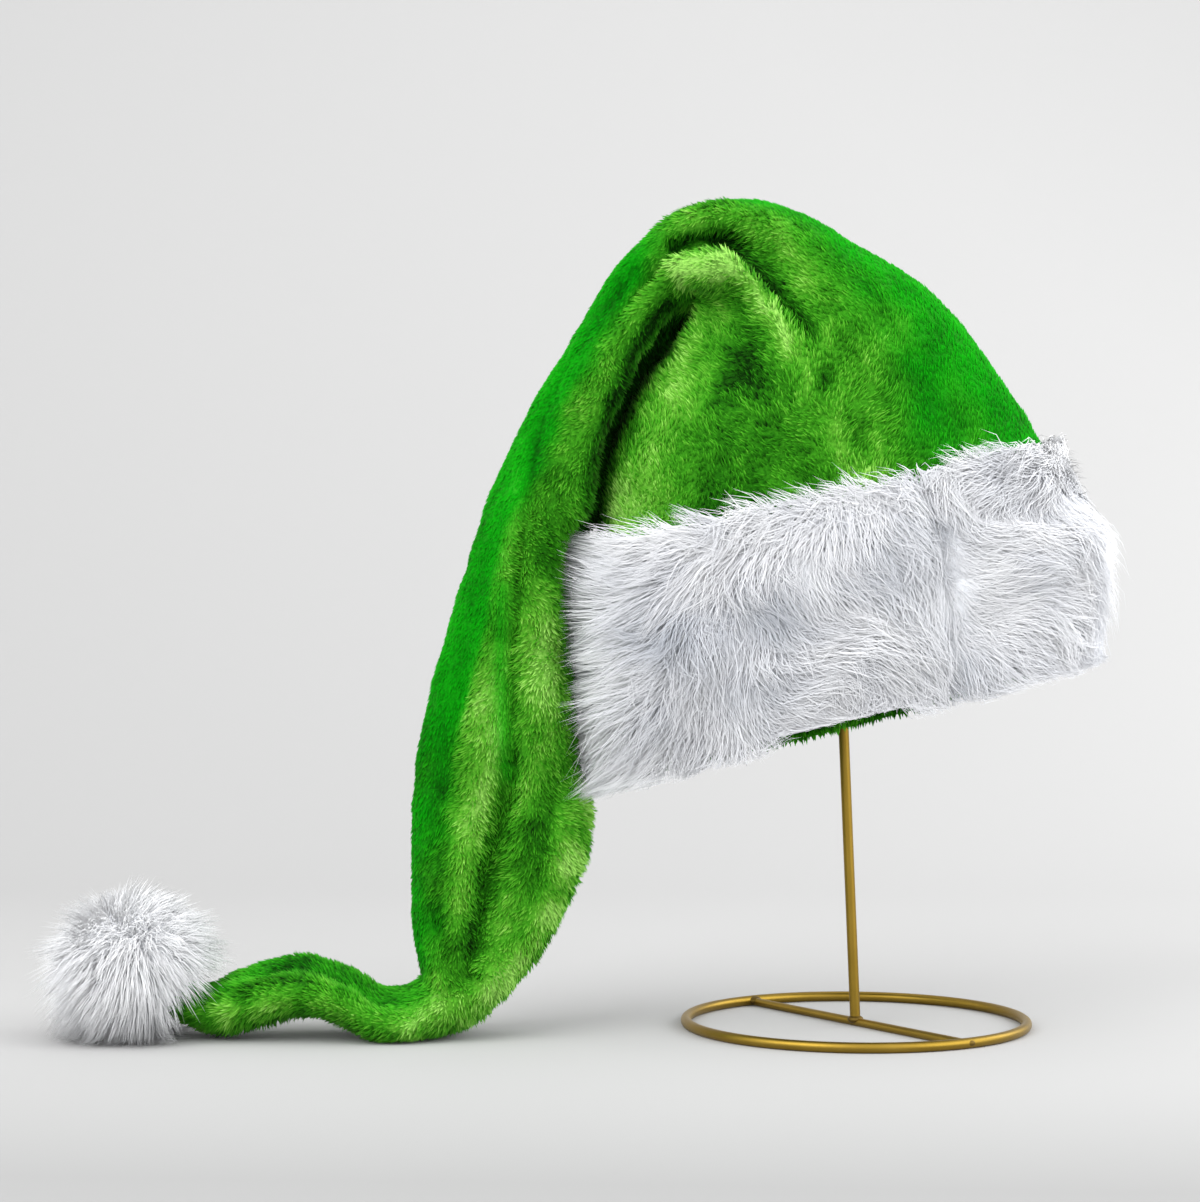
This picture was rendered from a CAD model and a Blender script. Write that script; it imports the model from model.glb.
import math

import bmesh
import bpy
import numpy as np
from mathutils import Matrix, Vector


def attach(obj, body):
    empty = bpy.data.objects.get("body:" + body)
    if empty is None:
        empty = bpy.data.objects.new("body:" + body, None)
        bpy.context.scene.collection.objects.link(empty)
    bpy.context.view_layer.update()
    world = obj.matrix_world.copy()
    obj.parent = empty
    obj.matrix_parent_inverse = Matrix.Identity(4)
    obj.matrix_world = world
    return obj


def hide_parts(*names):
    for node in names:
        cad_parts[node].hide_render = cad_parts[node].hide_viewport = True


# green plush hat with a long hanging tail, a deep white fur brim and a fur pompom, on a gold wire stand
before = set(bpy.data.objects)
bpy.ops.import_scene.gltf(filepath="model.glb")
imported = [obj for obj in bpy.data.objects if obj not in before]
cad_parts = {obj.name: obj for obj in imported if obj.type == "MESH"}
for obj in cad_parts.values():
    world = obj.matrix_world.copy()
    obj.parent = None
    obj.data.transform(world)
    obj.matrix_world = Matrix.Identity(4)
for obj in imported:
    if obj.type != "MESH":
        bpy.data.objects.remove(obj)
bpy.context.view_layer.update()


# shader maths: wraps one socket, and every operation on it adds a node

class Shade:
    def __init__(self, tree, socket=None):
        self.tree = tree
        self.socket = socket

    def node(self, kind, settings=None, inputs=None, output=0):
        made = self.tree.nodes.new("ShaderNode" + kind)
        for key, value in (settings or {}).items():
            if key == "stops":
                ramp = made.color_ramp
                while len(ramp.elements) < len(value):
                    ramp.elements.new(0.5)
                for element, (place, colour) in zip(ramp.elements, value):
                    element.position = place
                    element.color = colour
            else:
                setattr(made, key, value)
        for key, value in (inputs or {}).items():
            if isinstance(value, Shade):
                self.tree.links.new(value.socket, made.inputs[key])
            else:
                made.inputs[key].default_value = value
        return Shade(self.tree, made.outputs[output])

    def maths(self, operation, *values):
        return self.node("Math", {"operation": operation}, dict(enumerate(values)))

    def __add__(self, other):
        return self.maths("ADD", self, other)

    def __sub__(self, other):
        return self.maths("SUBTRACT", self, other)

    def __mul__(self, other):
        return self.maths("MULTIPLY", self, other)

    def __truediv__(self, other):
        return self.maths("DIVIDE", self, other)

    def __rsub__(self, other):
        return self.maths("SUBTRACT", other, self)

    __radd__ = __add__

    def within(self, low=0.0, high=1.0):
        return self.node("Clamp", {}, {0: self, 1: low, 2: high})

    def blend(self, first, second):
        # colour between two others, this far along
        return self.node("Mix", {"data_type": "RGBA"}, {0: self, 6: first, 7: second}, 2)

    def named(self, name):
        # a value that the mesh carries
        return self.node("Attribute", {"attribute_name": name}, {}, "Fac")

    def place(self, output="Object"):
        return self.node("TexCoord", {}, {}, output)

    def noise(self, scale, detail):
        return self.node("TexNoise", {}, {"Vector": self, "Scale": scale, "Detail": detail})

    def bump(self, strength, distance):
        return self.node("Bump", {}, {"Strength": strength, "Distance": distance, "Height": self})


def startMaterial(name, fixed):
    # a material, a Shade to build on and its main shader; fixed values go straight on the sockets
    material = bpy.data.materials.new(name)
    material.use_nodes = True
    tree = material.node_tree
    shader = tree.nodes["Principled BSDF"]
    for key, value in fixed.items():
        shader.inputs[key].default_value = value
    return material, Shade(tree), shader


def feed(shader, key, value):
    value.tree.links.new(value.socket, shader.inputs[key])


def fromHex(code):
    # linear colour of a display colour, opaque
    parts = [int(code[at:at + 2], 16) / 255 for at in (0, 2, 4)]
    return (*(p / 12.92 if p <= 0.04045 else ((p + 0.055) / 1.055) ** 2.4 for p in parts), 1)


# smooth random values, the same each run

def softNoise(points, size, seed):
    # from about -1 to 1, changing over this many metres
    table = np.random.default_rng(seed).uniform(-1, 1, (24, 24, 24))
    place = points / size + 60.0
    low = np.floor(place).astype(int)
    share = place - low
    share = share * share * (3 - 2 * share)
    total = np.zeros(points.shape[:-1])
    for corner in range(8):
        step = np.array([corner & 1, corner >> 1 & 1, corner >> 2 & 1])
        weight = np.prod(np.where(step, share, 1 - share), axis=-1)
        cell = (low + step) % 24
        total += weight * table[cell[..., 0], cell[..., 1], cell[..., 2]]
    return total


def unit(vectors):
    return vectors / np.maximum(np.linalg.norm(vectors, axis=-1, keepdims=True), 1e-9)


def smoothStep(low, high, value):
    # from 0 at low to 1 at high; low may be the larger
    share = np.clip((value - low) / (high - low), 0, 1)
    return share * share * (3 - 2 * share)


# the cloth of the hat, from the rim over the top and down the tail to its tip

plush = {
    # section, its middle x y z, half width, half depth (mm), lean of its long axis and roll (degrees)
    "rows": (
        ("rim", -5.00, 0.00, 149.00, 115.43, 67.00, 14.5, 0),
        ("bandMiddle", -6.90, 0.00, 204.66, 117.22, 67.00, 13.5, 0),
        ("bandTop", -18.80, 0.00, 263.36, 106.74, 63.65, 13.5, 0),
        ("cheek", -26.18, 0.00, 299.03, 92.46, 58.96, 14.5, 0),
        ("shoulder", -31.18, 0.00, 329.89, 72.95, 52.93, 17.5, 0),
        ("neck", -40.94, 0.00, 351.15, 51.65, 47.57, 27.5, 0),
        ("pinch", -51.41, 0.00, 365.06, 37.25, 44.22, 43.5, 0),
        ("apex", -64.74, 0.00, 372.40, 29.04, 41.54, 65.5, 0),
        ("over", -79.25, 0.00, 372.40, 22.25, 39.53, 90.5, 0),
        ("fold", -90.20, 0.00, 362.79, 21.66, 36.85, 117.5, 0),
        ("drop", -102.90, -0.68, 347.60, 21.02, 34.10, 141, 0),
        ("eave", -119.43, -2.04, 321.04, 20.01, 32.86, 151, 0),
        ("side", -137.38, -4.76, 288.40, 21.39, 31.62, 156, 0),
        ("cheekSide", -148.40, -8.16, 257.79, 25.07, 31.00, 162, 0),
        ("brimHigh", -160.02, -10.88, 232.49, 23.18, 30.07, 165, 0),
        ("brimLow", -168.69, -17.00, 169.75, 32.20, 27.90, 171, 0),
        ("hem", -172.44, -21.08, 135.59, 36.80, 25.73, 175, 0),
        ("under", -170.96, -23.80, 111.01, 41.86, 24.80, 177, 0),
        ("belly", -173.13, -26.52, 84.04, 40.48, 23.56, 179, 0),
        ("waist", -177.18, -29.58, 60.05, 35.51, 22.01, 180, 0),
        ("knee", -181.74, -32.30, 39.93, 28.06, 21.08, 177, 0),
        ("bend", -189.95, -34.00, 23.25, 17.89, 21.70, 159, 0),
        ("sole", -200.15, -34.00, 15.75, 13.80, 23.56, 125, -2),
        ("lay", -212.95, -34.00, 11.01, 10.99, 25.42, 107, -4),
        ("toe", -228.53, -34.00, 10.71, 10.30, 26.04, 92, -5),
        ("rise", -242.82, -34.00, 18.60, 10.21, 26.04, 76, -6),
        ("hump", -263.22, -34.00, 24.90, 11.50, 25.42, 88, -8),
        ("fall", -279.17, -34.00, 22.11, 12.65, 23.87, 99, -6),
        ("end", -293.09, -34.00, 17.91, 12.97, 21.70, 99, -3),
        ("neckOfBall", -306.44, -34.00, 14.49, 11.04, 17.98, 84, 0),
        ("tip", -321.28, -34.00, 18.51, 7.50, 12.40, 57, 0),
    ),
    "squareness": 2.1,
    "wall": 0.003,
    "foldScale": 0.062,
    # first, deepest and last section, angle at each (-90 faces the viewer), depth, spread
    "folds": (
        ("cheek", "over", "side", -79, -80, -62, -0.23, 13),
        ("shoulder", "apex", "fold", -103, -108, -104, 0.15, 17),
        ("cheek", "neck", "over", -124, -132, -138, -0.10, 15),
        ("over", "eave", "hem", -150, -150, -150, -0.16, 26),
        ("neck", "over", "eave", -48, -48, -36, 0.07, 20),
        ("fold", "cheekSide", "belly", -118, -122, -128, 0.10, 22),
        ("brimHigh", "belly", "bend", -88, -92, -104, -0.17, 16),
        ("cheekSide", "hem", "waist", -48, -56, -62, -0.08, 18),
        ("hem", "belly", "bend", -124, -128, -132, 0.09, 20),
        ("cheek", "over", "side", 96, 98, 84, -0.17, 14),
        ("shoulder", "apex", "drop", 122, 124, 120, 0.12, 18),
        ("side", "hem", "bend", 84, 88, 96, -0.13, 18),
        ("sole", "hump", "tip", -20, -12, -6, -0.07, 24),
    ),
    "around": 80,
    "rings": 190,
}
rowNames = [row[0] for row in plush["rows"]]
rowValues = np.array([row[1:] for row in plush["rows"]], float)
rowValues[:, :5] *= 0.001


def eased(values, along):
    # smooth curve through values one step apart
    last = len(values) - 1
    low = np.clip(np.floor(along).astype(int), 0, last - 1)
    share = (along - low)[..., None]
    a, b, c, d = (values[np.clip(low + step, 0, last)] for step in (-1, 0, 1, 2))
    square, cube = share ** 2, share ** 3
    return (b * (2 * cube - 3 * square + 1) + (c - a) / 2 * (cube - 2 * square + share)
            + c * (3 * square - 2 * cube) + (d - b) / 2 * (cube - square))


def foldPush(along, angle):
    total = np.zeros(np.broadcast(along, angle).shape)
    for first, deepest, last, angleA, angleB, angleC, depth, spread in plush["folds"]:
        a, b, c = rowNames.index(first), rowNames.index(deepest), rowNames.index(last)
        rising = (along - a) / (b - a)
        falling = (c - along) / (c - b)
        share = np.clip(np.minimum(rising, falling), 0, 1)
        middle = np.where(along < b, angleA + rising * (angleB - angleA),
                          angleC + falling * (angleB - angleC))
        away = (angle - middle + 180) % 360 - 180
        total += share * share * (3 - 2 * share) * np.exp(-(away / spread) ** 2) * depth * plush["foldScale"]
    return total


def wallPoint(along, angle, outward):
    along, angle = np.broadcast_arrays(np.asarray(along, float), np.asarray(angle, float))
    values = eased(rowValues, along)
    tilt, roll, turn = np.radians(values[..., 5]), np.radians(values[..., 6]), np.radians(angle)
    across = np.stack((np.cos(tilt), tilt * 0, np.sin(tilt)), -1)
    deep = np.stack((tilt * 0, tilt * 0 + 1, tilt * 0), -1)
    cosine, sine = np.cos(roll)[..., None], np.sin(roll)[..., None]
    across, deep = across * cosine + deep * sine, deep * cosine - across * sine
    power = 2 / plush["squareness"]
    cosine, sine = np.cos(turn), np.sin(turn)
    way = unit(np.stack((cosine / values[..., 3], sine / values[..., 4]), -1))
    push = outward + foldPush(along, angle)
    x = np.sign(cosine) * abs(cosine) ** power * values[..., 3] + way[..., 0] * push
    y = np.sign(sine) * abs(sine) ** power * values[..., 4] + way[..., 1] * push
    point = values[..., :3] + across * x[..., None] + deep * y[..., None]
    point[..., 2] = np.maximum(point[..., 2], 0)
    return point


alongTable = np.linspace(0, len(rowNames) - 1, 1501)
middles = eased(rowValues, alongTable)[:, :3]
lengthTable = np.concatenate(([0], np.cumsum(np.linalg.norm(np.diff(middles, axis=0), axis=1))))
plushLength = lengthTable[-1]
rimDown = np.array([math.sin(math.radians(14.5)), 0, -math.cos(math.radians(14.5))])


def wallAt(length, angle, outward=0.0):
    # point on the cloth this far from the rim; a length below zero hangs on below the rim
    along = np.interp(length, lengthTable, alongTable)
    return wallPoint(along, angle, outward) - rimDown * np.minimum(length, 0)[..., None]


def wallFrame(length, angle):
    # point, outward normal, way round and way towards the tip
    point = wallAt(length, angle)
    roundWay = wallAt(length, angle + 1.0) - wallAt(length, angle - 1.0)
    tipWay = wallAt(length + 0.002, angle) - wallAt(length - 0.002, angle)
    normal = unit(np.cross(roundWay, tipWay))
    return point, normal, unit(roundWay), unit(tipWay)


# creases, seams and dents that are finer than the cloth's main folds

creases = (
    # side, first and last section, path of x and z (mm), depth, width, lip height, lip offset, tone
    ("front", "shoulder", "fold", ((-88, 372), (-81, 373), (-63, 374), (-56, 369), (-46, 361), (-41, 353),
                                   (-34, 344), (-28, 333), (-25, 323), (-18, 309)), 9.5, 4.4, 4.8, 9.5, -1.6),
    ("front", "over", "hem", ((-91, 342), (-103, 323), (-113, 300), (-120, 279), (-124, 256), (-127, 232)),
     1.5, 7.0, 0, 0, -1.5),
    ("sides", "rim", "hem", ((-73, 356), (-79, 346), (-93, 322), (-108, 297), (-122, 271), (-128, 245)),
     -2.4, 9.0, 0, 0, -0.6),
    ("front", "cheek", "apex", ((-59, 354), (-58, 342), (-55, 326), (-53, 309)), 3.0, 6.5, 0, 0, -0.5),
    ("front", "shoulder", "fold", ((-82, 365), (-71, 360), (-71, 347), (-76, 330)), -3.0, 8.0, 0, 0, 0.35),
    ("front", "bandTop", "pinch", ((-28, 331), (-25, 317), (-17, 302), (-6, 283), (0, 268)),
     2.2, 2.4, 0.9, 5.0, -0.7),
    ("front", "fold", "under", ((-105, 365), (-124, 342), (-140, 317), (-150, 296), (-155, 277), (-159, 250),
                                (-163, 225), (-164, 193), (-165, 162), (-166, 131)),
     2.2, 2.4, 1.6, 5.0, -0.45),
    ("front", "brimLow", "bend", ((-166, 131), (-168, 113), (-172, 100), (-177, 72), (-182, 47), (-186, 31)),
     5.5, 5.5, 1.5, 11.0, -0.55),
    ("front", "hem", "bend", ((-144, 118), (-150, 90), (-157, 64), (-168, 43)), 4.0, 9.0, 0, 0, -0.35),
    ("front", "waist", "lay", ((-200, 65), (-198, 51), (-195, 37), (-193, 25)), 3.5, 4.0, 0, 0, -0.5),
    ("front", "cheekSide", "belly", ((-192, 183), (-190, 164), (-193, 141), (-199, 117)),
     2.5, 6.0, 0, 0, -0.3),
    ("front", "sole", "tip", ((-298, 16), (-280, 19), (-263, 25), (-244, 21), (-228, 12), (-212, 8)),
     -2.2, 5.0, 0, 0, 0.35),
    ("back", "shoulder", "fold", ((-92, 366), (-74, 374), (-58, 366), (-46, 350), (-38, 330), (-34, 308)),
     6.0, 3.8, 2.6, 9.0, -0.7),
    ("back", "bandTop", "pinch", ((-34, 330), (-44, 312), (-52, 292), (-58, 272)), 1.6, 2.0, 0.8, 4.0, -0.4),
    ("back", "fold", "under", ((-108, 360), (-128, 334), (-143, 305), (-152, 276), (-160, 240), (-166, 200),
                               (-168, 160), (-168, 131)), 2.2, 2.4, 1.6, 5.0, -0.45),
    ("back", "brimLow", "bend", ((-178, 128), (-176, 104), (-170, 80), (-176, 52), (-186, 31)),
     5.0, 6.0, 1.5, 11.0, -0.5),
)

patches = (
    # x and z of soft lighter or darker places on the front (mm), their radius and tone
    (-107, 267, 26, 0.85), (-118, 248, 18, 0.6), (-89, 312, 19, 0.7), (-34, 347, 10, 0.6),
    (-77, 364, 12, 0.5), (-62, 303, 16, -0.25), (-74, 297, 12, -0.25), (-68, 253, 22, -0.25),
    (-60, 340, 14, 0.25), (-38, 325, 8, 0.4), (-182, 165, 12, 0.45), (-189, 134, 13, -0.35),
    (-185, 101, 16, 0.35), (-187, 70, 16, 0.3), (-184, 26, 17, 0.75), (-172, 52, 8, 0.5),
    (-158, 46, 8, -0.4), (-151, 97, 10, -0.35), (-127, 106, 9, 0.8), (-136, 83, 10, 1.0),
    (-146, 58, 10, 1.3), (-157, 40, 9, 1.2), (-168, 24, 9, 0.8), (-149, 188, 15, 0.15),
    (-154, 161, 14, 0.25), (-185, 190, 9, 0.3),
    (-203, 20, 14, 0.4), (-245, 12, 12, 0.3), (-285, 10, 12, 0.2),
    (-292, 28, 15, -0.6), (-267, 33, 15, -0.6), (-242, 29, 14, -0.55), (-222, 22, 11, -0.4),
)


def nearPath(points, path):
    # distance in the x-z plane to a path, and on which side of it: above zero is to its right
    best = np.full(points.shape[:-1], 1e9)
    side = np.zeros(points.shape[:-1])
    flat = points[..., (0, 2)]
    corners = np.array(path, float) * 0.001
    for start, end in zip(corners[:-1], corners[1:]):
        way = end - start
        share = np.clip(((flat - start) @ way) / (way @ way), 0, 1)
        away = flat - start - share[..., None] * way
        far = np.linalg.norm(away, axis=-1)
        turn = way[1] * away[..., 0] - way[0] * away[..., 1]
        side = np.where(far < best, np.sign(turn), side)
        best = np.minimum(far, best)
    return best, side


def creasePush(points, normals, along):
    # how far the creases move the cloth out, and how they tone it
    push = 0.0011 * softNoise(points, 0.028, 21) + 0.0005 * softNoise(points, 0.011, 22)
    tone = np.zeros(push.shape)
    for side, first, last, path, depth, width, lip, lipAway, shade in creases:
        facing = {"front": -normals[..., 1], "back": normals[..., 1],
                  "sides": np.abs(normals[..., 0]) - 0.2}[side]
        a, b = rowNames.index(first), rowNames.index(last)
        here = smoothStep(0.05, 0.4, facing) * smoothStep(a - 0.5, a + 0.3, along)
        here = here * (1 - smoothStep(b - 0.3, b + 0.5, along))
        away, turn = nearPath(points, path)
        groove = np.exp(-(away / (width * 0.001)) ** 2)
        ridge = np.exp(-((away - lipAway * 0.001) / (max(width, 4) * 0.0014)) ** 2) * (turn > 0)
        push += here * 0.001 * (lip * ridge - depth * groove)
        tone += here * (shade * groove - 0.5 * shade * ridge * (lip > 0))
    return push, tone


def clothTone(points, normals, tone):
    # from -1, dark, to 1, light and yellower
    front = smoothStep(0.0, 0.5, -normals[..., 1])
    for x, z, radius, shade in patches:
        far = np.hypot(points[..., 0] - x * 0.001, points[..., 2] - z * 0.001)
        tone = tone + front * shade * np.exp(-(far / (radius * 0.001)) ** 2)
    streaky = points * np.array([1, 1, 0.55])
    tone = tone + 0.55 * softNoise(streaky, 0.021, 31) + 0.38 * softNoise(streaky, 0.009, 32)
    return np.clip(tone - 0.05, -1, 1)


sleekBand = ((-171, 212), (-170, 165), (-168, 125))


def sleekness(points, normals, along):
    # where the pile lies flat: the crown's top and right end, the tail's outer side and the upper
    # side of the part that lies down
    radial = unit(points - eased(rowValues, along)[..., :3])
    ragged = softNoise(points, 0.026, 33) + 0.6 * softNoise(points, 0.009, 34)
    tail = smoothStep(rowNames.index("over") - 0.5, rowNames.index("over") + 1.5, along)
    lying = smoothStep(rowNames.index("knee"), rowNames.index("sole"), along)
    crown = smoothStep(0.38, 0.86, 0.80 * radial[..., 0] + 0.60 * radial[..., 2] + 0.14 * ragged)
    edge = 0.15 + 0.62 * smoothStep(0.23, 0.12, points[..., 2])
    band = 0.8 * np.exp(-(nearPath(points, sleekBand)[0] / 0.0045) ** 2) * (normals[..., 1] < 0)
    hanging = np.maximum(smoothStep(-0.12, 0.2, -radial[..., 0] - edge + 0.10 * ragged), band)
    flat = 0.55 * smoothStep(0.0, 0.6, radial[..., 2] + 0.3 * ragged)
    return (1 - tail) * crown + tail * ((1 - lying) * hanging + lying * flat)


def clothGrid():
    # points, normals, ways, tones and section numbers over the whole cloth, ring by ring
    lengths = np.linspace(0, plushLength, plush["rings"] + 1)[:, None]
    angles = np.linspace(0, 360, plush["around"] + 1)[None, :]
    lengths, angles = np.broadcast_arrays(lengths, angles)
    point, normal, roundWay, tipWay = wallFrame(lengths, angles)
    along = np.interp(lengths, lengthTable, alongTable)
    push, tone = creasePush(point, normal, along)
    point = point + normal * push[..., None]
    point[..., 2] = np.maximum(point[..., 2], 0.0002)
    rolled = np.concatenate((point[:, -2:-1], point, point[:, 1:2]), axis=1)
    roundWay = unit(rolled[:, 2:] - rolled[:, :-2])
    tipWay = unit(np.gradient(point, axis=0))
    normal = unit(np.cross(roundWay, tipWay))
    return {"point": point, "normal": normal, "round": roundWay, "tip": tipWay, "angle": angles,
            "length": lengths, "along": along, "tone": clothTone(point, normal, tone),
            "sleek": sleekness(point, normal, along)}


def newObject(name, mesh, material):
    mesh.materials.append(material)
    made = bpy.data.objects.new(name, mesh)
    bpy.context.scene.collection.objects.link(made)
    return made


def fromShape(name, bm, material):
    # an object of what was modelled, with smooth faces
    mesh = bpy.data.meshes.new(name)
    bm.to_mesh(mesh)
    bm.free()
    mesh.shade_smooth()
    return newObject(name, mesh, material)


def settle(piece, node):
    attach(piece, "root")
    if node:
        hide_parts(node)
    return piece


def addValue(mesh, name, values):
    mesh.attributes.new(name, "FLOAT", "POINT").data.foreach_set("value", values.astype(np.float32))


def gridShape(across, along, place):
    # a grid bent to a shape: place gets the shares across and along, and gives points and named values
    bm = bmesh.new()
    bmesh.ops.create_grid(bm, x_segments=across, y_segments=along, size=0.5)
    flat = np.array([vert.co for vert in bm.verts]) + 0.5
    points, named = place(flat[:, 0], flat[:, 1])
    for vert, point in zip(bm.verts, points):
        vert.co = point
    for key, values in named.items():
        layer = bm.verts.layers.float.new(key)
        for vert, value in zip(bm.verts, values):
            vert[layer] = value
    bmesh.ops.remove_doubles(bm, verts=bm.verts, dist=1e-5)
    return bm


def turnedOut(bm, centre):
    # faces turned away from a point inside the shape's widest part
    bmesh.ops.recalc_face_normals(bm, faces=bm.faces)
    outward = sum((face.calc_center_median() - centre).dot(face.normal) * face.calc_area()
                  for face in bm.faces)
    if outward < 0:
        bmesh.ops.reverse_faces(bm, faces=bm.faces)


def bilinear(grid, ring, column, ringShare, columnShare):
    a, b = ringShare, columnShare
    if grid.ndim == 3:
        a, b = a[:, None], b[:, None]
    return (grid[ring, column] * (1 - a) * (1 - b) + grid[ring + 1, column] * a * (1 - b)
            + grid[ring, column + 1] * (1 - a) * b + grid[ring + 1, column + 1] * a * b)


def scattered(grid, count, density, chance):
    # places spread evenly over the cloth by area, thinned by a density at each cell
    point = grid["point"]
    down, side = point[1:, :-1] - point[:-1, :-1], point[:-1, 1:] - point[:-1, :-1]
    weight = np.linalg.norm(np.cross(down, side), axis=-1) * density
    picks = chance.choice(weight.size, count, p=(weight / weight.sum()).ravel())
    ring, column = np.unravel_index(picks, weight.shape)
    shares = chance.random((2, count))
    return {key: bilinear(values, ring, column, *shares) for key, values in grid.items()}


# piles: many small hairs in one mesh, each a three-sided spike along a line of points

def hairMesh(name, lines, widths, normals, tones, material, soften, flat=0.7, sleek=None):
    # lines is hairs x points x 3; widths at the root; the last point is the tip
    count, steps = lines.shape[0], lines.shape[1]
    ways = unit(np.gradient(lines, axis=1))
    sides = unit(np.cross(ways, normals[:, None, :] + 1e-6))
    ups = np.cross(ways, sides)
    shape = np.linspace(1, 0, steps) ** 0.7
    rings = []
    for step in range(steps - 1):
        for corner in range(3):
            turn = math.tau * (corner + 0.25) / 3
            reach = (widths * shape[step] / 2)[:, None]
            rings.append(lines[:, step] + sides[:, step] * reach * math.cos(turn)
                         + ups[:, step] * reach * flat * math.sin(turn))
    points = np.stack(rings + [lines[:, -1]], axis=1)
    points[..., 2] = np.maximum(points[..., 2], 0.0001)
    each = points.shape[1]
    faces = [(0, 2, 1)]
    for step in range(steps - 2):
        for corner in range(3):
            a, b = 3 * step + corner, 3 * step + (corner + 1) % 3
            faces += [(a, b, b + 3), (a, b + 3, a + 3)]
    faces += [(each - 4 + corner, each - 4 + (corner + 1) % 3, each - 1) for corner in range(3)]
    faces = np.array(faces)
    allFaces = (faces[None] + each * np.arange(count)[:, None, None]).reshape(-1, 3)
    mesh = bpy.data.meshes.new(name)
    mesh.vertices.add(count * each)
    mesh.loops.add(allFaces.size)
    mesh.polygons.add(len(allFaces))
    mesh.vertices.foreach_set("co", points.astype(np.float32).ravel())
    mesh.loops.foreach_set("vertex_index", allFaces.astype(np.int32).ravel())
    mesh.polygons.foreach_set("loop_start", np.arange(0, allFaces.size, 3, dtype=np.int32))
    mesh.polygons.foreach_set("use_smooth", np.ones(len(allFaces), bool))
    mesh.update(calc_edges=True)
    tipShare = np.concatenate((np.repeat(np.linspace(0, 1, steps)[:-1], 3), [1.0]))
    addValue(mesh, "tip", np.tile(tipShare, count))
    addValue(mesh, "tone", np.repeat(tones, each))
    if sleek is not None:
        addValue(mesh, "sleek", np.repeat(sleek, each))
    own = np.array([vert.vector for vert in mesh.vertex_normals]).reshape(count, each, 3)
    shown = unit(own * (1 - soften) + normals[:, None, :] * soften)
    mesh.normals_split_custom_set_from_vertices(shown.reshape(-1, 3))
    print(f"{name}: {count} hairs, {len(allFaces)} triangles")
    return newObject(name, mesh, material)


# materials

greens = {
    "deep": fromHex("082a04"),
    "tufted": ("072b02", "24730b", "429d1c", "68b734", "9fe064"),
    "sleek": ("043c04", "036e04", "069207", "0fa30c", "32b922"),
}


def plushColour(shade, tip):
    tone = shade.named("tone")
    place = shade.place()
    speck = place.noise(420.0, 2.0)
    value = (tone * 0.5 + 0.5 + (speck - 0.5) * 0.35 + (tip - 0.5) * 0.22).within()
    places = (0.0, 0.25, 0.5, 0.75, 1.0)
    ramps = [value.node("ValToRGB", {"stops": tuple(zip(places, map(fromHex, greens[kind])))}, {0: value})
             for kind in ("tufted", "sleek")]
    sleek = shade.named("sleek")
    return sleek.within().blend(*ramps)


def pileMaterial():
    material, shade, shader = startMaterial("green plush pile", {
        "Roughness": 0.8, "Specular IOR Level": 0.04, "Sheen Weight": 0.08, "Sheen Roughness": 0.4,
        "Sheen Tint": (0.45, 0.95, 0.25, 1)})
    tip = shade.named("tip")
    colour = plushColour(shade, tip)
    rooted = (0.55 + tip * 0.7).within().blend(greens["deep"], colour)
    feed(shader, "Base Color", rooted)
    return material


def clothMaterial():
    # the ground that the pile stands on
    material, shade, shader = startMaterial("green plush ground", {
        "Roughness": 0.85, "Specular IOR Level": 0.04, "Sheen Weight": 0.08, "Sheen Roughness": 0.5,
        "Sheen Tint": (0.45, 0.95, 0.25, 1)})
    place = shade.place()
    fuzz = place.noise(900.0, 3.0)
    colour = plushColour(shade, fuzz)
    feed(shader, "Base Color", (0.45 + fuzz * 0.5).within().blend(greens["deep"], colour))
    bump = fuzz.bump(0.7, 0.0012)
    feed(shader, "Normal", bump)
    return material


def liningMaterial():
    # the knitted back of the plush, seen inside the hat
    material, shade, shader = startMaterial("green knit lining", {
        "Roughness": 0.9, "Specular IOR Level": 0.2, "Sheen Weight": 0.15})
    place = shade.place()
    rib = shade.node("TexWave", {"wave_type": "BANDS", "bands_direction": "X"},
                     {"Vector": place, "Scale": 260.0, "Distortion": 1.5, "Detail": 1.0})
    grain = place.noise(700.0, 2.0)
    knit = (rib * 0.5 + grain * 0.5).within()
    feed(shader, "Base Color", knit.blend(fromHex("1a5c12"), fromHex("3a9427")))
    feed(shader, "Normal", knit.bump(0.5, 0.0006))
    return material


whites = {"shade": fromHex("b0b6c0"), "soft": fromHex("dfe1e6"), "bright": fromHex("f6f7f9")}


def furMaterial():
    material, shade, shader = startMaterial("white fur", {
        "Roughness": 0.55, "Specular IOR Level": 0.3, "Sheen Weight": 0.2, "Sheen Roughness": 0.5})
    tone = shade.named("tone")
    tip = shade.named("tip")
    value = (tone * 0.5 + 0.42 + tip * 0.3).within()
    stops = ((0.0, whites["shade"]), (0.5, whites["soft"]), (1.0, whites["bright"]))
    feed(shader, "Base Color", value.node("ValToRGB", {"stops": stops}, {0: value}))
    return material


def backingMaterial():
    # the short dense under-fur below the long hairs
    material, shade, shader = startMaterial("white under-fur", {
        "Roughness": 0.8, "Specular IOR Level": 0.2, "Sheen Weight": 0.2})
    place = shade.place()
    turned = shade.node("Mapping", {}, {
        "Vector": place, "Rotation": (0.0, 0.4, 0.0), "Scale": (1.0, 1.0, 0.25)})
    streak = turned.noise(600.0, 3.0)
    feed(shader, "Base Color", streak.within().blend(fromHex("c8ccd3"), fromHex("eceef1")))
    feed(shader, "Normal", streak.bump(0.6, 0.002))
    return material


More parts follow.
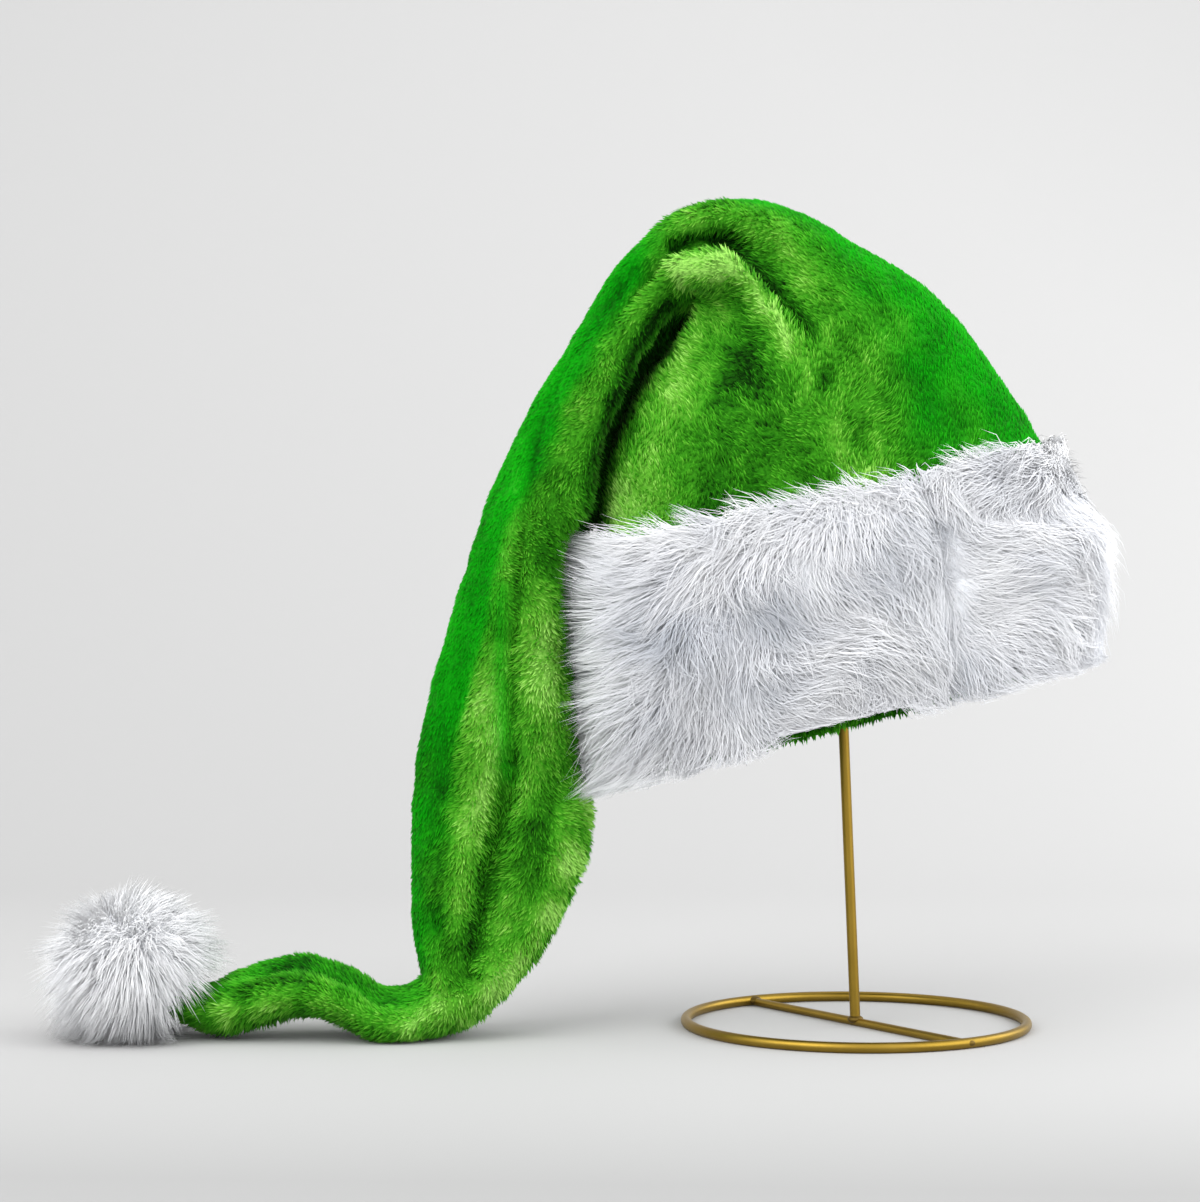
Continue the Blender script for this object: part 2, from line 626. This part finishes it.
def wireMaterial():
    material, shade, shader = startMaterial("satin gold wire", {"Metallic": 1.0})
    place = shade.place()
    cloud = place.noise(45.0, 4.0)
    scratch = place.noise(900.0, 2.0)
    weld = shade.named("weld")
    clean = cloud.within().blend(fromHex("806722"), fromHex("9b8036"))
    feed(shader, "Base Color", weld.blend(clean, fromHex("5e4c26")))
    feed(shader, "Roughness", (0.30 + cloud * 0.12 + scratch * 0.08 + weld * 0.2).within())
    feed(shader, "Normal", scratch.bump(0.12, 0.0003))
    return material


# the plush

cloth = clothGrid()
pileLook, groundLook, liningLook = pileMaterial(), clothMaterial(), liningMaterial()


def plushGround():
    def place(across, along):
        column, ring = across * plush["around"], along * plush["rings"]
        columnLow = np.minimum(np.floor(column + 1e-6).astype(int), plush["around"] - 1)
        ringLow = np.minimum(np.floor(ring + 1e-6).astype(int), plush["rings"] - 1)
        shares = (ring - ringLow, column - columnLow)
        point, tone, sleek = (bilinear(cloth[key], ringLow, columnLow, *shares)
                              for key in ("point", "tone", "sleek"))
        return point, {"tone": tone, "sleek": sleek}

    bm = gridShape(plush["around"], plush["rings"], place)
    tipEdges = [edge for edge in bm.edges if edge.is_boundary and edge.verts[0].co.x < -0.2]
    bmesh.ops.contextual_create(bm, geom=tipEdges)
    turnedOut(bm, Vector((-0.02, 0, 0.25)))
    made = fromShape("plushCloth", bm, groundLook)
    made.data.materials.append(liningLook)
    wall = made.modifiers.new("wall", "SOLIDIFY")
    wall.thickness = plush["wall"]
    wall.offset = -1
    wall.material_offset = 1
    wall.use_quality_normals = True
    return settle(made, "plush_cone")


plushGround()
print("plush ground done")

pile = {
    "hairs": 35000,  # in each of the two pieces
    "length": (0.0034, 0.0052),
    "width": (0.0011, 0.0017),
    "lean": 1.0,
    "sleekLean": 1.9,
    # how far the shading follows the cloth, and how flat each hair is
    "soften": 0.72, "flat": 1.0,
    "hem": 0.0062,  # the pile this near the rim hangs down where the fur leaves it bare
}


def plushPile(name, first, last, seed):
    chance = np.random.default_rng(seed)
    middle = (cloth["along"][1:, :-1] + cloth["along"][:-1, :-1]) / 2
    length = (cloth["length"][1:, :-1] + cloth["length"][:-1, :-1]) / 2
    shown = (length < 0.006) | (length > brim["high"] - 0.012)
    here = (middle >= rowNames.index(first) if first else middle >= 0) & (middle < rowNames.index(last))
    weight = (shown & here) * np.where(length < 0.006, 2.5, 1.0)
    at = scattered(cloth, pile["hairs"], weight, chance)
    normal, roundWay, tipWay, root = unit(at["normal"]), unit(at["round"]), unit(at["tip"]), at["point"]
    turn = (1.5 * softNoise(root, 0.035, 41) + 0.8 * softNoise(root, 0.010, 42)
            + chance.normal(0, 0.25, len(root)))
    flow = tipWay * np.cos(turn)[:, None] + roundWay * np.sin(turn)[:, None]
    wrapped = (at["angle"] + 180) % 360 - 180
    bare = (wrapped > brim["bare"][0] - 3) & (wrapped < brim["bare"][1] + 3)
    hem = ((at["length"] < pile["hem"]) & bare)[:, None]
    flow = np.where(hem, roundWay * np.sin(turn)[:, None] * 0.6 - tipWay, flow)
    sleek = at["sleek"] * (1 - hem[:, 0])
    flow = unit(flow * (1 - sleek)[:, None] + tipWay * sleek[:, None])
    lean = pile["lean"] * (1 + 0.5 * softNoise(root, 0.012, 43)) + chance.normal(0, 0.2, len(root))
    heading = unit(normal + flow * (lean * (1 - sleek) + pile["sleekLean"] * sleek)[:, None])
    size = (chance.uniform(*pile["length"], len(root)) * (1 + 0.25 * softNoise(root, 0.007, 44))
            * (1 - 0.25 * sleek))
    base = root - normal * 0.0004
    tip = base + heading * size[:, None]
    tip[:, 2] = np.maximum(tip[:, 2], 0.0004)
    lines = np.stack((base, tip), axis=1)
    tones = at["tone"] + chance.normal(0, 0.16, len(root)) + 0.38 * softNoise(root, 0.0045, 45)
    tones = np.clip(tones * (1 - 0.35 * sleek), -1, 1)
    widths = chance.uniform(*pile["width"], len(root))
    made = hairMesh(name, lines, widths, normal, tones, pileLook, pile["soften"], pile["flat"], sleek)
    return settle(made, None)


# the fur brim

brim = {
    "low": 0.006, "high": 0.108,  # its edges above the rim, along the cloth
    "backing": 0.0050, "puff": 0.0030, "lumps": (0.0042, 0.0022),
    # the dense short fur below, the long locks on it and the stray hairs on top; clumps are locks
    # for each hair, and clumping is how far the hairs draw together
    "under": {"points": 3, "length": (0.009, 0.017), "width": (0.0008, 0.0014), "lift": 0.0035,
              "clumps": 0.10, "clumping": 0.3, "tone": -0.05, "soften": 0.97},
    "locks": {"points": 3, "length": (0.013, 0.028), "width": (0.0003, 0.0007), "lift": 0.0100,
              "clumps": 0.046, "clumping": 0.72, "tone": 0.12, "soften": 0.97},
    "strays": {"points": 4, "length": (0.020, 0.036), "width": (0.0003, 0.0006), "lift": 0.0140,
               "clumps": 0.070, "clumping": 0.68, "tone": 0.25, "soften": 0.96},
    "seam": -69.5, "seamWidth": 3.6,
    # how far the fur stands off at the left and right ends, stray tips rise over the top edge,
    # roots sit below the ground and tips scatter
    "leaves": (0.024, 0.009), "rise": 0.016, "sunk": 0.0006, "fray": 0.0007,
    # angle round the hat, and the way that the fur lies there low, midway and high on the band:
    # 0 is towards the next angle, to the right in front, and 90 is up
    "lie": (
        (-180, 240, 200, 165), (-165, 245, 205, 170), (-150, 228, 196, 172), (-138, 244, 214, 176),
        (-126, 272, 262, 195), (-114, 288, 290, 215), (-102, 305, 325, 235), (-92, 318, 342, 250),
        (-84, 298, 318, 275), (-78, 278, 288, 290), (-72, 266, 278, 285), (-67, 288, 338, 250),
        (-55, 305, 352, 210), (-40, 280, 325, 190), (-26, 262, 300, 180), (-10, 255, 310, 200),
        (10, 260, 330, 220), (35, 250, 300, 210), (60, 250, 280, 200), (85, 270, 300, 200),
        (110, 265, 250, 200), (140, 250, 225, 180), (160, 245, 210, 170), (180, 240, 200, 165),
    ),
    "bare": (-108.0, -79.0),  # where the green hem shows below the fur
    # x and z of soft darker places on the front (mm), their radius and tone
    "shades": ((-83, 194, 17, -0.85), (-49, 209, 13, -0.7), (3, 233, 12, -0.5), (-60, 172, 12, -0.45)),
}


def seamDip(angle):
    return np.exp(-(((angle - brim["seam"] + 180) % 360 - 180) / brim["seamWidth"]) ** 2)


def backingOut(share, angle):
    # how far the ground of the fur stands off the cloth, lumpy and drawn in at the seam
    around = np.radians(angle)
    place = np.stack((np.cos(around) * 0.10, np.sin(around) * 0.10, share * 0.11), -1)
    lumps = brim["lumps"][0] * softNoise(place, 0.026, 52) + brim["lumps"][1] * softNoise(place, 0.012, 53)
    lumps = lumps * np.sin(np.pi * np.clip(share, 0, 1))
    puffed = brim["backing"] + brim["puff"] * np.sin(np.pi * share) + lumps
    return 0.0004 + puffed * (1 - 0.7 * seamDip(angle))


def furNormal(length, angle):
    # the way that the lumpy ground of the fur faces
    def ground(length, angle):
        share = (length - brim["low"]) / (brim["high"] - brim["low"])
        return wallAt(length, angle, backingOut(share, angle))

    roundWay = ground(length, angle + 1.2) - ground(length, angle - 1.2)
    tipWay = ground(length + 0.002, angle) - ground(length - 0.002, angle)
    return unit(np.cross(roundWay, tipWay))


def brimBacking():
    def place(across, along):
        angle = across * 360 - 180
        length = brim["low"] + 0.001 + along * (brim["high"] - brim["low"] - 0.004)
        # its top edge rolls in to the cloth
        point = wallAt(length, angle, backingOut(along, angle) * (1 - 0.6 * smoothStep(0.88, 1.0, along)))
        return point, {"tone": softNoise(point, 0.015, 51)}

    bm = gridShape(120, 18, place)
    turnedOut(bm, Vector((-0.01, 0, 0.21)))
    made = fromShape("brimBacking", bm, backingMaterial())
    wall = made.modifiers.new("wall", "SOLIDIFY")
    wall.thickness = 0.0035
    wall.offset = -1
    return settle(made, "fur_brim")


def furWay(length, angle, point, rising):
    # way of the fur as shares round and towards the tip; rising hairs stray up over the brim's top edge
    wrapped = (angle + 180) % 360 - 180
    at = [row[0] for row in brim["lie"]]
    height = np.clip((length - brim["low"]) / (brim["high"] - brim["low"]), 0, 1)
    x, y = np.zeros(len(angle)), np.zeros(len(angle))
    for column, centre in ((1, 0.1), (2, 0.5), (3, 0.9)):
        lie = np.radians([row[column] for row in brim["lie"]])
        share = np.exp(-((height - centre) / 0.24) ** 2)
        x += share * np.interp(wrapped, at, np.cos(lie))
        y += share * np.interp(wrapped, at, np.sin(lie))
    turn = 0.55 * softNoise(point, 0.030, 61) + 0.55 * softNoise(point, 0.012, 62)
    x, y = x * np.cos(turn) - y * np.sin(turn), x * np.sin(turn) + y * np.cos(turn)
    x, y = np.where(rising, math.cos(2.65), x), np.where(rising, math.sin(2.65), y)
    size = np.maximum(np.hypot(x, y), 1e-6)
    return x / size, y / size


def drawTogether(lines, amount, clumps, chance):
    # hairs draw together into pointed locks; also says which hair leads each
    count, steps = lines.shape[:2]
    guides = chance.choice(count, clumps, replace=False)
    roots = lines[:, 0]
    leader = np.empty(count, int)
    for begin in range(0, count, 1000):
        far = np.linalg.norm(roots[begin:begin + 1000, None] - roots[guides][None], axis=-1)
        leader[begin:begin + 1000] = guides[np.argmin(far, axis=1)]
    pull = amount * np.linspace(0, 1, steps) ** 1.3
    pull = pull[None, :] * chance.uniform(0.4, 1.3, count)[:, None]
    return lines + (lines[leader] - lines) * np.minimum(pull, 0.95)[..., None], leader


def brimFur(name, low, high, count, seed, kind, look):
    chance = np.random.default_rng(seed)
    layer = brim[kind]
    steps = layer["points"]
    angle = chance.uniform(low, high, count * 2)
    angle = angle[chance.random(count * 2) < 0.5 + 0.5 * np.abs(np.sin(np.radians(angle)))][:count]
    count = len(angle)
    length = chance.uniform(brim["low"], brim["high"], count)
    pick = chance.random(count)
    length = np.where(pick < 0.07, brim["low"] + 0.010 * chance.random(count), length)
    length = np.where(pick > 0.95, brim["high"] - 0.008 * chance.random(count), length)
    root, normalAtRoot = wallAt(length, angle), furNormal(length, angle)
    size = chance.uniform(*layer["length"], count) * (1 + 0.25 * softNoise(root, 0.016, 63))
    lift = layer["lift"] * chance.uniform(0.2, 1.0, count) * (1 + 0.7 * softNoise(root, 0.015, 64))
    lift = lift * (1 - 0.6 * seamDip(angle))
    # the fur on each side of the seam stays on its own side
    left = (angle > brim["seam"] - 30) & (angle < brim["seam"])
    right = (angle >= brim["seam"]) & (angle < brim["seam"] + 30)
    least = np.where(right, brim["seam"] + 0.25, -400.0)
    most = np.where(left, brim["seam"] - 0.25, 400.0)
    # towards both ends the fur leaves the band and stands off
    side = np.cos(np.radians(angle))
    leaving = np.where(side < 0, brim["leaves"][0] * smoothStep(0.45, 0.80, -side),
                       brim["leaves"][1] * smoothStep(0.7, 0.95, side))
    share = (length - brim["low"]) / (brim["high"] - brim["low"])
    startShare = share
    leaving = leaving * chance.uniform(0.1, 1.1, count) * (0.15 if kind == "under" else 1)
    leaving = leaving * np.where(side > 0, 1 - 0.7 * np.abs(2 * share - 1) ** 1.5, 1)
    rising = smoothStep(0.80, 1.0, share) * (0.35 + 0.65 * smoothStep(-0.3, 0.4, softNoise(root, 0.018, 68)))
    rising = rising * (1 - 0.85 * smoothStep(0.75, 0.95, side))
    rising = chance.random(count) < (0.3 if kind == "under" else 0.85) * rising
    size = size * np.where(rising, chance.uniform(0.5, 0.85, count), 1)
    size = size * (1 - 0.5 * smoothStep(0.80, 0.95, side) * smoothStep(0.70, 1.0, share))
    ceiling = brim["high"] + np.where(rising, brim["rise"], chance.uniform(0.0, 0.005, count))
    startAngle = angle.copy()
    wobble = chance.normal(0, 0.32, count)
    hang = chance.uniform(-0.006, -0.001, count)
    line = []
    for step in range(steps):
        share = step / (steps - 1)
        inBand = np.clip((length - brim["low"]) / (brim["high"] - brim["low"]), 0, 1)
        height = backingOut(inBand, angle) - brim["sunk"]
        height = height + lift * (2.2 * share - 1.4 * share ** 2) + leaving * share ** 2
        point, normal = wallFrame(length, angle)[:2]
        line.append(point + normal * height[:, None])
        x, y = furWay(length, angle, point, rising)
        turn = wobble + chance.normal(0, 0.15, count)
        x, y = x * np.cos(turn) - y * np.sin(turn), x * np.sin(turn) + y * np.cos(turn)
        degree = np.linalg.norm(wallAt(length, angle + 1.0) - wallAt(length, angle - 1.0), axis=-1) / 2
        angle = np.clip(angle + x * size / (steps - 1) / degree, least, most)
        length = length + y * size / (steps - 1)
        bare = (angle > brim["bare"][0]) & (angle < brim["bare"][1])
        length = np.where(bare, np.maximum(length, 0.0045), length)
        length = np.clip(length, hang, ceiling)
    lines, leader = drawTogether(np.stack(line, axis=1), layer["clumping"],
                                 int(count * layer["clumps"]), chance)
    lines += chance.normal(0, brim["fray"], lines.shape) * np.linspace(0, 1, steps)[None, :, None]
    tones = (layer["tone"] + 0.5 * softNoise(root, 0.022, 65) + 0.3 * softNoise(root, 0.009, 66)
             + chance.normal(0, 0.05, count) + chance.normal(0, 0.09, count)[leader]
             - 0.4 * seamDip(startAngle) + 0.15 * smoothStep(0.55, 0.9, side)
             - 0.8 * smoothStep(0.80, 1.0, side) * (1 - startShare ** 3))
    for x, z, radius, shade in brim["shades"]:
        far = np.hypot(root[:, 0] - x * 0.001, root[:, 2] - z * 0.001)
        tones = tones + shade * np.exp(-(far / (radius * 0.001)) ** 2) * (root[:, 1] < 0)
    widths = chance.uniform(*layer["width"], count)
    soften = layer["soften"] - 0.40 * smoothStep(0.70, 0.95, side)
    made = hairMesh(name, lines, widths, normalAtRoot, np.clip(tones, -1, 1), look, soften[:, None, None])
    return settle(made, None)


# the pompom

pompom = {
    "centre": (-0.3450, -0.0340, 0.0339), "core": 0.0280,
    "hairs": 11500, "length": (0.008, 0.027), "width": (0.0003, 0.0008),
    "clumps": 620, "clumping": 0.48, "droop": 0.008,
    "swirl": 0.5, "scatter": 0.16, "tone": 0.60, "soften": 0.96,
    "tail": (0.84, 0.0, -0.54),  # way from its middle to the tail, where the fur parts
}


def pompomCore():
    bm = bmesh.new()
    bmesh.ops.create_icosphere(bm, subdivisions=4, radius=pompom["core"])
    bmesh.ops.translate(bm, verts=bm.verts, vec=pompom["centre"])
    layer = bm.verts.layers.float.new("tone")
    points = np.array([vert.co for vert in bm.verts])
    bumps = softNoise(points, 0.012, 71)
    for vert, bump in zip(bm.verts, bumps):
        vert.co += (vert.co - Vector(pompom["centre"])).normalized() * 0.0014 * bump
        vert[layer] = bump
    made = fromShape("pompomCore", bm, bpy.data.materials["white under-fur"])
    return settle(made, "fur_pompom")


def pompomFur(look):
    chance = np.random.default_rng(81)
    count, steps = pompom["hairs"], 3
    out = unit(chance.normal(0, 1, (count * 2, 3)))
    out = out[out @ np.array(pompom["tail"]) < 0.80][:count]
    centre = np.array(pompom["centre"])
    root = centre + out * (pompom["core"] - 0.001)
    swirl = np.stack([softNoise(root, 0.020, seed) for seed in (82, 83, 84)], -1)
    heading = unit(out + pompom["swirl"] * swirl + chance.normal(0, pompom["scatter"], out.shape))
    heading = heading + out * np.maximum(0.25 - np.sum(heading * out, axis=-1), 0)[:, None]
    heading = unit(heading)
    size = chance.uniform(*pompom["length"], count)
    line = []
    for step in range(steps):
        share = step / (steps - 1)
        point = root + heading * (size * share)[:, None]
        point[:, 2] -= pompom["droop"] * share ** 2
        away = point - centre
        near = np.linalg.norm(away, axis=-1)
        point = centre + away * (np.maximum(near, pompom["core"] + 0.002 * share) / near)[:, None]
        low = np.maximum(0.0006 - point[:, 2], 0)
        point = point + unit(out * np.array([1, 1, 0]) + 1e-6) * (low * 0.6)[:, None]
        point[:, 2] = np.maximum(point[:, 2], 0.0006 + 0.0008 * share)
        line.append(point)
    lines, leader = drawTogether(np.stack(line, axis=1), pompom["clumping"], pompom["clumps"], chance)
    tones = (0.16 * softNoise(root, 0.014, 85) + chance.normal(0, 0.10, count)
             + chance.normal(0, 0.10, count)[leader])
    made = hairMesh("pompomFur", lines, chance.uniform(*pompom["width"], count), out,
                    np.clip(tones + pompom["tone"], -1, 1), look, pompom["soften"])
    return settle(made, None)


brimBacking()
furLook = furMaterial()
print("brim backing done")
pompomCore()
plushPile("plushPileCrown", "", "eave", 45)
plushPile("plushPileTail", "eave", "tip", 46)
brimFur("brimUnderFur", -180.0, 180.0, 12500, 54, "under", furLook)
brimFur("brimLocksLeft", -182.0, -84.0, 11400, 55, "locks", furLook)
brimFur("brimLocksRight", -84.0, 14.0, 11400, 56, "locks", furLook)
brimFur("brimLocksBack", 14.0, 178.0, 8800, 57, "locks", furLook)
brimFur("brimStrays", -180.0, 180.0, 4600, 58, "strays", furLook)
pompomFur(furLook)
print("fur done")


# the wire stand

stand = {
    "ring": 0.0822, "wire": 0.0050, "bar": 0.0040, "barTurn": 124.0, "postLean": 2.3,
    "padRadius": 0.028, "padFlatness": 0.45, "padTop": 0.3743, "bead": 0.0034,
}


def wireRod(bm, thickness, start, end):
    half = thickness / 2
    made = bmesh.ops.create_cone(bm, cap_ends=True, segments=20, radius1=half, radius2=half,
                                 depth=(end - start).length)["verts"]
    turn = (end - start).to_track_quat("Z", "X").to_matrix()
    bmesh.ops.rotate(bm, verts=made, matrix=turn)
    bmesh.ops.translate(bm, verts=made, vec=(start + end) / 2)


def wireStand():
    bm = bmesh.new()
    layer = bm.verts.layers.float.new("weld")
    loop = bmesh.ops.create_circle(bm, segments=16, radius=stand["wire"] / 2)["verts"]
    bmesh.ops.rotate(bm, verts=loop, matrix=Matrix.Rotation(math.pi / 2, 3, "X"))
    bmesh.ops.translate(bm, verts=loop, vec=(stand["ring"], 0, stand["wire"] / 2))
    bmesh.ops.spin(bm, geom=bm.verts[:] + bm.edges[:], axis=(0, 0, 1), angle=math.tau, steps=144,
                   use_merge=True)
    turn = math.radians(stand["barTurn"])
    reach = Vector((math.cos(turn), math.sin(turn), 0)) * (stand["ring"] - 0.001)
    level = Vector((0, 0, stand["bar"] / 2))
    wireRod(bm, stand["bar"], level - reach, level + reach)
    lean = math.radians(stand["postLean"])
    up = Vector((-math.sin(lean), 0, math.cos(lean)))
    halfPad = stand["padRadius"] * stand["padFlatness"]
    padAt = level + up * ((stand["padTop"] - halfPad - level.z) / up.z)
    wireRod(bm, stand["wire"], level, padAt)
    pad = bmesh.ops.create_uvsphere(bm, u_segments=32, v_segments=16, radius=stand["padRadius"])["verts"]
    bmesh.ops.scale(bm, verts=pad, vec=(1, 1, stand["padFlatness"]))
    bmesh.ops.translate(bm, verts=pad, vec=padAt)
    # beads of solder where the wires meet
    beads = (level + Vector((0, 0, 0.0012)), level - reach + Vector((0, 0, 0.0006)),
             level + reach + Vector((0, 0, 0.0006)))
    for at in beads:
        bead = bmesh.ops.create_icosphere(bm, subdivisions=3, radius=stand["bead"])["verts"]
        bmesh.ops.scale(bm, verts=bead, vec=(1.15, 1.15, 0.62))
        bmesh.ops.translate(bm, verts=bead, vec=at)
        for vert in bead:
            vert[layer] = 0.8
    bmesh.ops.recalc_face_normals(bm, faces=bm.faces)
    for vert in bm.verts:
        vert.co.z = max(vert.co.z, 0)
    made = fromShape("wireStand", bm, wireMaterial())
    made.data.set_sharp_from_angle(angle=math.radians(50))
    return settle(made, "wire_stand")


wireStand()
print("stand done")


# room, light and camera

room = {
    "floor": fromHex("9b9b9b"), "wall": fromHex("b8b8b8"), "ambient": 1.5,
    # name, place, target, size and power of each light
    "lights": (
        ("key", (-1.25, -1.3, 1.35), (-0.15, 0, 0.2), 1.5, 28.0),
        ("fill", (1.4, -0.8, 0.9), (-0.05, 0, 0.2), 1.5, 17.0),
        ("rim", (1.3, 0.55, 0.75), (0.05, 0, 0.25), 0.8, 8.0),
    ),
    "camera": (-0.1239, -1.338, 0.206), "lens": 82.6,
    "front": -2.5, "bendAt": 0.6, "bendRadius": 1.2, "halfWidth": 4.0,
}


def sweep():
    # a pale floor that curves up into the wall behind
    bm = bmesh.new()
    edge = bmesh.ops.create_grid(bm, x_segments=1, y_segments=1, size=1.0)["verts"]
    for vert in edge:
        vert.co = Vector((vert.co.x * room["halfWidth"], room["front" if vert.co.y < 0 else "bendAt"], 0))
    far = [edge for edge in bm.edges if all(vert.co.y > 0 for vert in edge.verts)]
    bend = bmesh.ops.spin(bm, geom=far, cent=(0, room["bendAt"], room["bendRadius"]), axis=(1, 0, 0),
                          angle=math.pi / 2, steps=32)
    last = [part for part in bend["geom_last"] if isinstance(part, bmesh.types.BMEdge)]
    wall = bmesh.ops.extrude_edge_only(bm, edges=last)["geom"]
    bmesh.ops.translate(bm, verts=[v for v in wall if isinstance(v, bmesh.types.BMVert)], vec=(0, 0, 2.5))
    material, shade, shader = startMaterial("pale floor", {"Roughness": 0.8, "Specular IOR Level": 0.1})
    place = shade.place()
    across = shade.node("SeparateXYZ", {}, {0: place}, "X")
    far = shade.node("SeparateXYZ", {}, {0: place}, "Y")
    level = shade.node("SeparateXYZ", {}, {0: shade.place("Normal")}, "Z")
    front = ((0.12 - far) / 0.45).within(0.0, 1.3)
    share = (across * 0.25 - far * 0.23 + 1.43 - level * level * 0.5 - front * front * 0.85).within()
    feed(shader, "Base Color", share.blend(room["floor"], room["wall"]))
    fromShape("floorSweep", bm, material)


def areaLight(name, place, target, size, power):
    lamp = bpy.data.lights.new(name, "AREA")
    lamp.energy, lamp.size = power, size
    holder = bpy.data.objects.new(name, lamp)
    holder.location = place
    holder.rotation_euler = (Vector(target) - Vector(place)).to_track_quat("-Z", "Y").to_euler()
    bpy.context.scene.collection.objects.link(holder)


def studio():
    sweep()
    world = bpy.data.worlds.new("studio")
    world.use_nodes = True
    bpy.context.scene.world = world
    world.node_tree.nodes["Background"].inputs["Color"].default_value = (1.0, 1.0, 1.0, 1)
    world.node_tree.nodes["Background"].inputs["Strength"].default_value = room["ambient"]
    for light in room["lights"]:
        areaLight(*light)
    camera = bpy.data.cameras.new("camera")
    camera.lens = room["lens"]
    camera.sensor_width = 36
    holder = bpy.data.objects.new("camera", camera)
    holder.location = room["camera"]
    holder.rotation_euler = (math.pi / 2, 0, 0)
    bpy.context.scene.collection.objects.link(holder)
    bpy.context.scene.camera = holder
    bpy.context.scene.view_settings.view_transform = "Standard"


studio()
print("room done")
